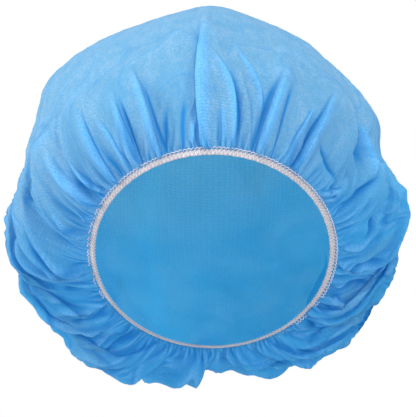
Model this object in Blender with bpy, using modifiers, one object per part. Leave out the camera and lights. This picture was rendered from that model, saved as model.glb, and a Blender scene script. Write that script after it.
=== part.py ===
"""A disposable bouffant cap: one disc of thin non-woven cloth, gathered on a ring of white elastic.

The cap stands as it is worn, with the face side towards -Y and +Z up. Metres, with angles in degrees.
The origin is the centre of the elastic ring.
"""

import math

import bmesh
import bpy
import numpy as np

COLLECTION = "bouffant_cap"

# Elastic ring, a flat oval that rises from the nape to the forehead
RING_LENGTH = 0.212
RING_WIDTH = 0.138
RING_TILT = 33.0
BAND_WIDTH = 0.0034
BAND_THICKNESS = 0.0020
RING_STEPS = 72
BAND_SIDES = 8

# Cloth
CLOTH_WALL = 0.0010
SEAM_GAP = 0.0003

# Centre of the puffed crown, from the centre of the elastic ring
CENTRE_BACK = 0.020
CENTRE_UP = 0.040

# How far the puffed crown reaches past the ring or its own centre
SIDE_PUFF = 0.0495
FOREHEAD_PUFF = 0.007
NAPE_DROP = 0.0123
CROWN_RISE = 0.107
CROWN_BACK = 0.125
HANG_BACK = 0.080

# Height of the tallest main fold, and how wide a fold of share 1 is at the elastic
FOLD_HEIGHT = 0.009
FOLD_WIDTH = 0.014
LEAN_SHARE = 0.45

# Share of the way from the elastic to the crown's middle that the turned lip takes
LIP_SHARE = 0.16
LIP_QUICKNESS = 2.4

# The outline seen from the front, as shares of an oval through the puffs. "at" turns from +X towards +Z.
OUTLINE_COLUMNS = ("at", "reach")
OUTLINE = (
    (0, 0.950),
    (11, 0.857),
    (20, 0.880),
    (38, 0.891),
    (56, 0.918),
    (73, 0.942),
    (91, 0.995),
    (103, 0.968),
    (122, 0.964),
    (136, 0.983),
    (150, 0.995),
    (160, 0.961),
    (174, 0.954),
    (186, 1.025),
    (199, 1.105),
    (212, 1.104),
    (219, 1.110),
    (228, 1.165),
    (243, 1.140),
    (254, 1.070),
    (270, 1.010),
    (287, 1.065),
    (297, 1.080),
    (310, 1.110),
    (320, 1.088),
    (330, 1.035),
    (339, 1.002),
    (351, 0.992),
)

# The crown's depth. "at" turns from +Z to either side. "front" is a share of the depth from the centre to the
# forehead, and "ring" is how far back the widest line lies, as a share of HANG_BACK. "square" is the power of
# the rounded sections, 2 for an ellipse.
DEPTH_COLUMNS = ("at", "front", "ring", "square")
DEPTH = (
    (0, 1.00, 0.00, 2.2),
    (30, 1.00, 0.01, 2.2),
    (60, 0.99, 0.05, 2.2),
    (75, 0.96, 0.07, 2.2),
    (90, 0.90, 0.10, 2.2),
    (105, 0.74, 0.19, 2.2),
    (120, 0.59, 0.31, 2.2),
    (133, 0.45, 0.52, 2.3),
    (149, 0.31, 0.75, 2.4),
    (180, 0.23, 1.00, 2.4),
)

# Where the lip heads from the elastic: outwards in the ring's own plane and up through it, as shares of
# SIDE_PUFF. "at" turns from the forehead towards +X, and the left half mirrors the right.
LIP_COLUMNS = ("at", "out", "rise")
LIP = (
    (0, 0.10, 0.20),
    (30, 0.18, 0.24),
    (60, 0.50, 0.26),
    (90, 0.70, 0.16),
    (120, 0.36, -0.06),
    (150, 0.20, -0.14),
    (180, 0.16, -0.12),
)

# Main folds that run up from the elastic. "at" is where the fold leaves the elastic, in degrees from the
# forehead towards +X. "turn" is how far it has turned where it ends. "reach" is its end and "full" where it
# stands highest, both as shares of the way to the crown's middle. "wide" and "high" are shares of FOLD_WIDTH
# and FOLD_HEIGHT, with a dent below 0. "lean" makes one flank steeper: +1 the flank towards +X.
FOLD_COLUMNS = ("at", "turn", "reach", "full", "wide", "high", "lean")
FOLDS = (
    (-2, 0, 0.52, 0.16, 0.45, 0.62, -0.7),
    (9, -9, 0.28, 0.10, 0.35, 0.40, 0.6),
    (15, -13, 0.40, 0.14, 0.35, 0.34, 0.6),
    (21, 14, 0.36, 0.12, 0.42, 0.60, -0.3),
    (32, 9, 0.18, 0.06, 0.25, 0.30, 0.0),
    (38, 14, 0.30, 0.12, 0.45, 0.70, -0.6),
    (50, 8, 0.22, 0.10, 0.60, 0.40, 0.7),
    (64, -4, 0.28, 0.14, 0.45, -0.55, -0.5),
    (72, 2, 0.22, 0.08, 0.45, 0.55, 0.0),
    (81, 6, 0.12, 0.05, 0.40, -0.40, 0.0),
    (88, 12, 0.18, 0.07, 0.40, 0.50, 0.3),
    (97, 13, 0.20, 0.07, 0.40, 0.55, 0.6),
    (108, 4, 0.18, 0.06, 0.40, -0.50, -0.4),
    (117, 20, 0.20, 0.07, 0.70, 0.75, 0.3),
    (131, 15, 0.16, 0.06, 0.45, -0.45, 0.0),
    (141, 6, 0.40, 0.12, 0.80, 0.60, 0.2),
    (153, -6, 0.62, 0.20, 0.75, 0.60, -0.3),
    (165, 5, 0.48, 0.15, 0.70, 0.50, 0.3),
    (176, -4, 0.80, 0.24, 0.80, 0.60, 0.4),
    (-171, 6, 0.55, 0.18, 0.70, 0.50, -0.3),
    (-158, 5, 0.70, 0.22, 0.80, 0.60, -0.4),
    (-146, -8, 0.38, 0.12, 0.80, 0.60, 0.2),
    (-134, -6, 0.14, 0.05, 0.40, -0.45, 0.0),
    (-123, -10, 0.20, 0.06, 0.60, 0.65, 0.3),
    (-112, 2, 0.12, 0.04, 0.45, -0.50, 0.0),
    (-101, 12, 0.17, 0.05, 0.40, 0.60, -0.5),
    (-90, 14, 0.22, 0.07, 0.40, -0.35, 0.0),
    (-79, 9, 0.22, 0.07, 0.40, 0.50, -0.3),
    (-64, -7, 0.22, 0.08, 0.75, 0.60, 0.4),
    (-46, -4, 0.22, 0.08, 0.50, 0.60, -0.5),
    (-33, -7, 0.24, 0.09, 0.50, 0.60, 0.3),
    (-24, -12, 0.31, 0.11, 0.42, 0.70, 0.5),
    (-14, 6, 0.16, 0.05, 0.35, 0.35, 0.0),
)

# Soft hollows in the slack crown behind the head. "at" and "way" place the middle, as above, "across" is the
# half width in degrees, "along" the half length as a share of the way, and "deep" a share of FOLD_HEIGHT.
HOLLOW_COLUMNS = ("at", "way", "across", "along", "deep")
HOLLOWS = (
    (112, 0.42, 16, 0.16, 0.75),
    (137, 0.62, 13, 0.18, 0.60),
    (160, 0.38, 9, 0.14, 0.60),
    (-170, 0.70, 16, 0.18, 0.55),
    (-148, 0.46, 10, 0.20, 0.70),
    (-118, 0.58, 15, 0.16, 0.60),
    (-88, 0.44, 11, 0.18, 0.65),
    (84, 0.60, 13, 0.16, 0.50),
)

# Small gathers all round the elastic: how many, how high, and the share of the way over which they fade out
GATHERS = 36
GATHER_HEIGHT = 0.0009
GATHER_FADE_SHARE = 0.10

# Rows of the cloth's grid from the elastic to the crown's middle, and the columns each band of rows has
ROW_PLACES = (
    0.0, 0.01, 0.024, 0.042, 0.064, 0.09, 0.12, 0.155, 0.195, 0.24, 0.29, 0.345, 0.405,
    0.47, 0.54, 0.61, 0.68, 0.75, 0.82, 0.88, 0.93, 0.97,
)
FULL_COLUMNS = 144
HALVED_AT = (0.47, 0.82, 0.93)

# Behind its widest line the outline's unevenness fades with this power of the distance from the middle
OUTLINE_FADE_POWER = 4

# The surface's slope is taken over this share of the way, and of half a turn, to each side
SLOPE_STEP_SHARE = 0.002


def column(rows, columns, name):
    """One column of a table, as an array."""
    return np.array([row[columns.index(name)] for row in rows], float)


def named_rows(rows, columns):
    """Each row of a table, with its values under the names of their columns."""
    return [dict(zip(columns, row)) for row in rows]


def smooth_curve(x, y, at):
    """A smooth curve through the points (x, y), read at each place."""
    slope = np.gradient(y, x)
    i = np.clip(np.searchsorted(x, at, side="right") - 1, 0, len(x) - 2)
    step = x[i + 1] - x[i]
    t = np.clip((at - x[i]) / step, 0.0, 1.0)
    t2, t3 = t * t, t * t * t
    return (
        (2 * t3 - 3 * t2 + 1) * y[i]
        + (t3 - 2 * t2 + t) * step * slope[i]
        + (3 * t2 - 2 * t3) * y[i + 1]
        + (t3 - t2) * step * slope[i + 1]
    )


def round_curve(x, y, at):
    """A smooth curve through rows that go once round a circle."""
    turns = np.concatenate([x - 360, x, x + 360])
    return smooth_curve(turns, np.tile(y, 3), np.mod(at - x[0], 360) + x[0])


def mirrored_curve(x, y, at):
    """A smooth curve through rows that stand for one half of a shape, level where the halves meet."""
    both = np.concatenate([2 * x[0] - x[:0:-1], x, 2 * x[-1] - x[-2::-1]])
    return smooth_curve(both, np.concatenate([y[:0:-1], y, y[-2::-1]]), at)


def ease(t):
    """0 up to t = 0, 1 from t = 1, and smooth between."""
    t = np.clip(t, 0.0, 1.0)
    return t * t * (3 - 2 * t)


def signed(angle):
    """The same angle, from -180 to 180."""
    return (angle + 180) % 360 - 180


def ring_axes():
    """Unit vectors of the elastic ring's frame: right, forward and up through the ring."""
    tilt = math.radians(RING_TILT)
    right = np.array([1.0, 0.0, 0.0])
    forward = np.array([0.0, -math.cos(tilt), math.sin(tilt)])
    up = np.array([0.0, math.sin(tilt), math.cos(tilt)])
    return right, forward, up


def ring_point(around):
    """Points on the elastic ring's middle line."""
    angle = np.radians(around)[..., None]
    right, forward, _ = ring_axes()
    return RING_WIDTH / 2 * np.sin(angle) * right + RING_LENGTH / 2 * np.cos(angle) * forward


def ring_outward(around):
    """Unit vectors in the ring's plane, square to the ring and away from its middle."""
    angle = np.radians(around)[..., None]
    right, forward, _ = ring_axes()
    outward = RING_LENGTH * np.sin(angle) * right + RING_WIDTH * np.cos(angle) * forward
    return outward / np.linalg.norm(outward, axis=-1, keepdims=True)


def lip_target(around):
    """The points that the lip heads for as it leaves the elastic."""
    apart = np.abs(signed(around))
    at = column(LIP, LIP_COLUMNS, "at")
    out, rise = (
        SIDE_PUFF * mirrored_curve(at, column(LIP, LIP_COLUMNS, name), apart)[..., None]
        for name in ("out", "rise")
    )
    return ring_point(around) + out * ring_outward(around) + rise * ring_axes()[2]


def hem_point(around, target):
    """The cloth's edge, a seam's gap off the elastic's oval section, on the side that the cloth leaves by."""
    outward, up = ring_outward(around), ring_axes()[2]
    heading = target - ring_point(around)
    out = np.sum(heading * outward, axis=-1, keepdims=True)
    rise = np.sum(heading * up, axis=-1, keepdims=True)
    length = np.hypot(out, rise)
    out, rise = out / length, rise / length
    section = 1 / np.hypot(out / (BAND_THICKNESS / 2), rise / (BAND_WIDTH / 2))
    return ring_point(around) + (section + SEAM_GAP) * (out * outward + rise * up)


def crown_sizes(turn, outline_share):
    """Radius, front depth, back depth, widest line and power of the crown's section at each turn.

    outline_share is how much of the outline's unevenness the radius has, from 0 to 1.
    """
    cosine, sine = np.cos(np.radians(turn)), np.sin(np.radians(turn))
    half_width = RING_WIDTH / 2 + SIDE_PUFF
    drop = CENTRE_UP + RING_LENGTH / 2 * math.sin(math.radians(RING_TILT)) + NAPE_DROP
    height = np.where(sine > 0, CROWN_RISE, drop)
    oval = 1 / np.sqrt((cosine / half_width) ** 2 + (sine / height) ** 2)
    at = column(OUTLINE, OUTLINE_COLUMNS, "at")
    reach = 1 + outline_share * (round_curve(at, column(OUTLINE, OUTLINE_COLUMNS, "reach"), turn) - 1)
    at = column(DEPTH, DEPTH_COLUMNS, "at")
    from_top = np.degrees(np.arccos(np.clip(sine, -1, 1)))
    front, ring, square = (
        mirrored_curve(at, column(DEPTH, DEPTH_COLUMNS, name), from_top)
        for name in ("front", "ring", "square")
    )
    forehead = RING_LENGTH / 2 * math.cos(math.radians(RING_TILT)) + CENTRE_BACK + FOREHEAD_PUFF
    ring = ring * HANG_BACK
    return oval * reach, front * forehead, CROWN_BACK - ring, ring, square


def crown_direction(points):
    """The direction, on a unit sphere, in which each point lies in the crown's own measure."""
    centre = np.array([0.0, CENTRE_BACK, CENTRE_UP])
    x, y, z = np.moveaxis(points - centre, -1, 0)
    turn = np.degrees(np.arctan2(z, x))
    radius, front, back, ring, square = crown_sizes(turn, 1.0)
    depth = y - ring
    across = (np.hypot(x, z) / radius) ** (square / 2)
    along = np.abs(depth / np.where(depth < 0, front, back)) ** (square / 2)
    lean = np.arctan2(across, np.where(depth < 0, along, -along))
    flat = np.radians(turn)
    return np.stack([np.sin(lean) * np.cos(flat), -np.cos(lean), np.sin(lean) * np.sin(flat)], axis=-1)


def crown_point(direction):
    """The point of the smooth crown in each direction."""
    x, y, z = np.moveaxis(direction, -1, 0)
    across, along = np.hypot(x, z), -y
    turn = np.degrees(np.arctan2(z, x))
    radius, front, back, ring, square = crown_sizes(turn, np.where(along > 0, 1.0, across**OUTLINE_FADE_POWER))
    spread = across ** (2 / square)
    depth = np.abs(along) ** (2 / square) * np.where(along > 0, -front, back) + ring
    flat = np.radians(turn)
    reach = radius * spread
    return np.stack(
        [reach * np.cos(flat), depth + CENTRE_BACK, reach * np.sin(flat) + CENTRE_UP], axis=-1
    )


def meridian(around, way):
    """Directions on the way from the elastic at each angle (way 0) to the crown's middle (way 1)."""
    start = crown_direction(lip_target(around))
    apex = ring_axes()[2]
    angle = np.arccos(np.clip(start @ apex, -1, 1))[..., None]
    way = way[..., None]
    return (np.sin((1 - way) * angle) * start + np.sin(way * angle) * apex) / np.sin(angle)


def smooth_cap(around, way):
    """The cap without its folds: from the hem, out through the lip and over the crown."""
    hem = hem_point(around, crown_point(meridian(around, np.zeros_like(around))))
    crown = crown_point(meridian(around, way))
    t = np.clip(way / LIP_SHARE, 0, 1)[..., None]
    spread = 1 - (1 - t) ** LIP_QUICKNESS
    return hem * (1 - spread) + crown * spread


def surface_normals(around, way):
    """Outward normals of the smooth cap."""
    low, high = np.clip(way - SLOPE_STEP_SHARE, 0, 1), np.clip(way + SLOPE_STEP_SHARE, 0, 1)
    turn = SLOPE_STEP_SHARE * 180
    up = smooth_cap(around, high) - smooth_cap(around, low)
    side = smooth_cap(around + turn, way) - smooth_cap(around - turn, way)
    normal = np.cross(side, up)
    return normal / np.linalg.norm(normal, axis=-1, keepdims=True)


def fold_height(around, way):
    """How far the folds and gathers lift the cloth off the smooth cap."""
    circle = math.pi * math.sqrt((RING_LENGTH**2 + RING_WIDTH**2) / 2)
    fade = np.clip(way / GATHER_FADE_SHARE, 0, 1)
    height = GATHER_HEIGHT * np.sin(math.pi * np.sqrt(fade)) * np.cos(np.radians(around * GATHERS))
    for fold in named_rows(FOLDS, FOLD_COLUMNS):
        reach, full, lean = fold["reach"], fold["full"], LEAN_SHARE * fold["lean"]
        apart = signed(around - fold["at"] - fold["turn"] * (way / reach))
        width = FOLD_WIDTH * fold["wide"] / circle * 360
        flank = width * np.where(apart > 0, 1 - lean, 1 + lean)
        rise = np.clip(way / full, 0, 1)
        fall = 1 - ease((way - full) / (reach - full))
        height += FOLD_HEIGHT * fold["high"] * np.exp(-((apart / flank) ** 2)) * rise * (2 - rise) * fall
    for hollow in named_rows(HOLLOWS, HOLLOW_COLUMNS):
        apart = signed(around - hollow["at"]) / hollow["across"]
        along = (way - hollow["way"]) / hollow["along"]
        height -= FOLD_HEIGHT * hollow["deep"] * np.exp(-(apart**2) - along**2)
    return height


def cap_point(around, way):
    """Points of the folded cap's middle surface."""
    smooth = smooth_cap(around, way)
    return smooth + surface_normals(around, way) * fold_height(around, way)[..., None]


def material(name, colour, roughness):
    made = bpy.data.materials.new(name)
    made.use_nodes = True
    shader = made.node_tree.nodes["Principled BSDF"]
    shader.inputs["Base Color"].default_value = (*colour, 1.0)
    shader.inputs["Roughness"].default_value = roughness
    shader.inputs["Metallic"].default_value = 0.0
    return made


def grid_rows():
    """Each row of the cloth's grid: its place on the way up and how many columns it has."""
    return [(way, FULL_COLUMNS >> sum(way > halved for halved in HALVED_AT)) for way in ROW_PLACES]


def cloth_surface():
    """The cap's open surface, a loft of rings of points from the hem to the crown's middle."""
    mesh = bmesh.new()
    rows = []
    for way, count in grid_rows():
        around = np.arange(count) * 360.0 / count
        rows.append([mesh.verts.new(point) for point in cap_point(around, np.full(count, way))])
    for low, high in zip(rows, rows[1:]):
        ratio = len(low) // len(high)
        for i, corner in enumerate(high):
            following = high[(i + 1) % len(high)]
            if ratio == 1:
                mesh.faces.new((low[i], low[(i + 1) % len(low)], following, corner))
            else:
                first, middle, last = low[2 * i], low[2 * i + 1], low[(2 * i + 2) % len(low)]
                mesh.faces.new((first, middle, corner))
                mesh.faces.new((middle, following, corner))
                mesh.faces.new((middle, last, following))
    crown = mesh.verts.new(smooth_cap(np.zeros(1), np.ones(1))[0])
    last = rows[-1]
    for i, corner in enumerate(last):
        mesh.faces.new((corner, last[(i + 1) % len(last)], crown))
    made = bpy.data.meshes.new("bouffant_cloth")
    mesh.to_mesh(made)
    mesh.free()
    made.shade_smooth()
    return made


def bouffant_cloth(collection):
    cloth = bpy.data.objects.new("bouffant_cloth", cloth_surface())
    wall = cloth.modifiers.new("cloth wall", "SOLIDIFY")
    wall.thickness = CLOTH_WALL
    wall.offset = 0.0
    cloth.data.materials.append(material("blue non-woven", (0.24, 0.56, 0.90), 0.75))
    collection.objects.link(cloth)
    return cloth


def oval_curve(name, half_x, half_y, steps, way_round=1):
    """A closed flat oval as a poly curve in its own XY plane, run one way round or, with -1, the other."""
    curve = bpy.data.curves.new(name, "CURVE")
    curve.dimensions = "3D"
    spline = curve.splines.new("POLY")
    spline.points.add(steps - 1)
    for i, point in enumerate(spline.points):
        angle = way_round * 2 * math.pi * i / steps
        point.co = (half_x * math.sin(angle), -half_y * math.cos(angle), 0.0, 1.0)
    spline.use_cyclic_u = True
    return curve


def elastic_band(collection):
    outline = oval_curve("band_section", BAND_THICKNESS / 2, BAND_WIDTH / 2, BAND_SIDES, way_round=-1)
    section = bpy.data.objects.new("band_section", outline)
    section.hide_render = True
    section.display_type = "WIRE"
    collection.objects.link(section)
    ring = oval_curve("elastic_band", RING_WIDTH / 2, RING_LENGTH / 2, RING_STEPS)
    ring.twist_mode = "Z_UP"
    ring.bevel_mode = "OBJECT"
    ring.bevel_object = section
    band = bpy.data.objects.new("elastic_band", ring)
    band.rotation_euler.x = -math.radians(RING_TILT)
    band.data.materials.append(material("white elastic", (0.80, 0.79, 0.77), 0.70))
    collection.objects.link(band)
    return band


def main():
    for stale in list(bpy.data.objects):
        bpy.data.objects.remove(stale)
    collection = bpy.data.collections.new(COLLECTION)
    bpy.context.scene.collection.children.link(collection)
    bouffant_cloth(collection)
    elastic_band(collection)


main()
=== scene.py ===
"""The looks of the bouffant cap: gathered non-woven cloth, its white elastic and the overlock stitching.

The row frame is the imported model's: metres, face side towards -Y, +Z up, origin in the middle of the elastic.
Angles go round the elastic in degrees, from the forehead towards +X. "way" goes from 0 at the elastic to 1 at
the crown's middle.
"""

import math

import bpy
import numpy as np
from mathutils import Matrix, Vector, noise


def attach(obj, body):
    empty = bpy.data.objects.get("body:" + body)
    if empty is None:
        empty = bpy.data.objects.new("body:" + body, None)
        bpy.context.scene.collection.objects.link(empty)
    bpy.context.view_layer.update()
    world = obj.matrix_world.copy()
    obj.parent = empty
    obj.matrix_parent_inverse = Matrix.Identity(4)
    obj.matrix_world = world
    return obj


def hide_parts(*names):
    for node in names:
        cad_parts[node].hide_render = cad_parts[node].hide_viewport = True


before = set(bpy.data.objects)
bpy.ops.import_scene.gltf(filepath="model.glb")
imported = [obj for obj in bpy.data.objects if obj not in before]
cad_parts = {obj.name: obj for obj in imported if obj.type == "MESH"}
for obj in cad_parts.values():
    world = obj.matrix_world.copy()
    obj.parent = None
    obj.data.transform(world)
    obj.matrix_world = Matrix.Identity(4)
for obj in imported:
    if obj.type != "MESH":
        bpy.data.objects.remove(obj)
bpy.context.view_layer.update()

# The form of the CAD source, repeated so that the fine cloth lies on the same surface
RING_LENGTH = 0.212
RING_WIDTH = 0.138
RING_TILT = 33.0
CENTRE_BACK = 0.020
CENTRE_UP = 0.040
SIDE_PUFF = 0.0495
FOREHEAD_PUFF = 0.007
NAPE_DROP = 0.0123
CROWN_RISE = 0.107
CROWN_BACK = 0.125
HANG_BACK = 0.080
FOLD_HEIGHT = 0.009
FOLD_WIDTH = 0.014
LEAN_SHARE = 0.45
LIP_SHARE = 0.16
LIP_QUICKNESS = 2.4

# Tables of curves, read by their first column. The outline: its reach at each turn of the front view, as a
# share of a plain oval's. The depth: degrees from the top, front and ring as shares, and the section's power.
# The lip at the elastic: degrees from the forehead, then out and rise as shares.
OUTLINE = (
    (0, 0.95), (11, 0.857), (20, 0.88), (38, 0.891), (56, 0.918), (73, 0.942), (91, 0.995),
    (103, 0.968), (122, 0.964), (136, 0.983), (150, 0.995), (160, 0.961), (174, 0.954), (186, 1.025),
    (199, 1.105), (212, 1.104), (219, 1.11), (228, 1.165), (243, 1.14), (254, 1.07), (270, 1.01),
    (287, 1.065), (297, 1.08), (310, 1.11), (320, 1.088), (330, 1.035), (339, 1.002), (351, 0.992),
)
DEPTH = (
    (0, 1, 0, 2.2), (30, 1, 0.01, 2.2), (60, 0.99, 0.05, 2.2), (75, 0.96, 0.07, 2.2),
    (90, 0.9, 0.1, 2.2), (105, 0.74, 0.19, 2.2), (120, 0.59, 0.31, 2.2), (133, 0.45, 0.52, 2.3),
    (149, 0.31, 0.75, 2.4), (180, 0.23, 1, 2.4),
)
LIP = (
    (0, 0.1, 0.2), (30, 0.18, 0.24), (60, 0.5, 0.26), (90, 0.7, 0.16),
    (120, 0.36, -0.06), (150, 0.2, -0.14), (180, 0.16, -0.12),
)

# Main folds, as in the source: where each leaves the elastic, how far it turns, where it ends and stands
# highest, its width and height as shares, and which flank is the steeper
MAIN_FOLDS = (
    (-2, 0, 0.52, 0.16, 0.45, 0.62, -0.7), (9, -9, 0.28, 0.1, 0.35, 0.4, 0.6),
    (15, -13, 0.4, 0.14, 0.35, 0.34, 0.6), (21, 14, 0.36, 0.12, 0.42, 0.6, -0.3),
    (32, 9, 0.18, 0.06, 0.25, 0.3, 0), (38, 14, 0.3, 0.12, 0.45, 0.7, -0.6),
    (50, 8, 0.22, 0.1, 0.6, 0.4, 0.7), (64, -4, 0.28, 0.14, 0.45, -0.55, -0.5),
    (72, 2, 0.22, 0.08, 0.45, 0.55, 0), (81, 6, 0.12, 0.05, 0.4, -0.4, 0),
    (88, 12, 0.18, 0.07, 0.4, 0.5, 0.3), (97, 13, 0.2, 0.07, 0.4, 0.55, 0.6),
    (108, 4, 0.18, 0.06, 0.4, -0.5, -0.4), (117, 20, 0.2, 0.07, 0.7, 0.75, 0.3),
    (131, 15, 0.16, 0.06, 0.45, -0.45, 0), (141, 6, 0.4, 0.12, 0.8, 0.6, 0.2),
    (153, -6, 0.62, 0.2, 0.75, 0.6, -0.3), (165, 5, 0.48, 0.15, 0.7, 0.5, 0.3),
    (176, -4, 0.8, 0.24, 0.8, 0.6, 0.4), (-171, 6, 0.55, 0.18, 0.7, 0.5, -0.3),
    (-158, 5, 0.7, 0.22, 0.8, 0.6, -0.4), (-146, -8, 0.38, 0.12, 0.8, 0.6, 0.2),
    (-134, -6, 0.14, 0.05, 0.4, -0.45, 0), (-123, -10, 0.2, 0.06, 0.6, 0.65, 0.3),
    (-112, 2, 0.12, 0.04, 0.45, -0.5, 0), (-101, 12, 0.17, 0.05, 0.4, 0.6, -0.5),
    (-90, 14, 0.22, 0.07, 0.4, -0.35, 0), (-79, 9, 0.22, 0.07, 0.4, 0.5, -0.3),
    (-64, -7, 0.22, 0.08, 0.75, 0.6, 0.4), (-46, -4, 0.22, 0.08, 0.5, 0.6, -0.5),
    (-33, -7, 0.24, 0.09, 0.5, 0.6, 0.3), (-24, -12, 0.31, 0.11, 0.42, 0.7, 0.5),
    (-14, 6, 0.16, 0.05, 0.35, 0.35, 0),
)
# Broad hollows, as in the source: angle, way, reach round (degrees) and along, depth as a share
HOLLOWS = (
    (112, 0.42, 16, 0.16, 0.75), (137, 0.62, 13, 0.18, 0.6), (160, 0.38, 9, 0.14, 0.6),
    (-170, 0.7, 16, 0.18, 0.55), (-148, 0.46, 10, 0.2, 0.7), (-118, 0.58, 15, 0.16, 0.6),
    (-88, 0.44, 11, 0.18, 0.65), (84, 0.6, 13, 0.16, 0.5),
)

# The cloth is cut as a disc of this diameter
DISC_DIAMETER = 0.533

# Pleats stand this many times their height and lean over by this share of it. Those that leave the elastic
# further round than SIDE_FROM are higher, lean over less and have a least width in millimetres.
PLEAT_RISE = 1.8
PLEAT_SLIDE = 0.75
SIDE_FROM = 50
SIDE_RISE = 2.1
SIDE_SLIDE = 0.45
SIDE_WIDTH = 1.5

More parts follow.
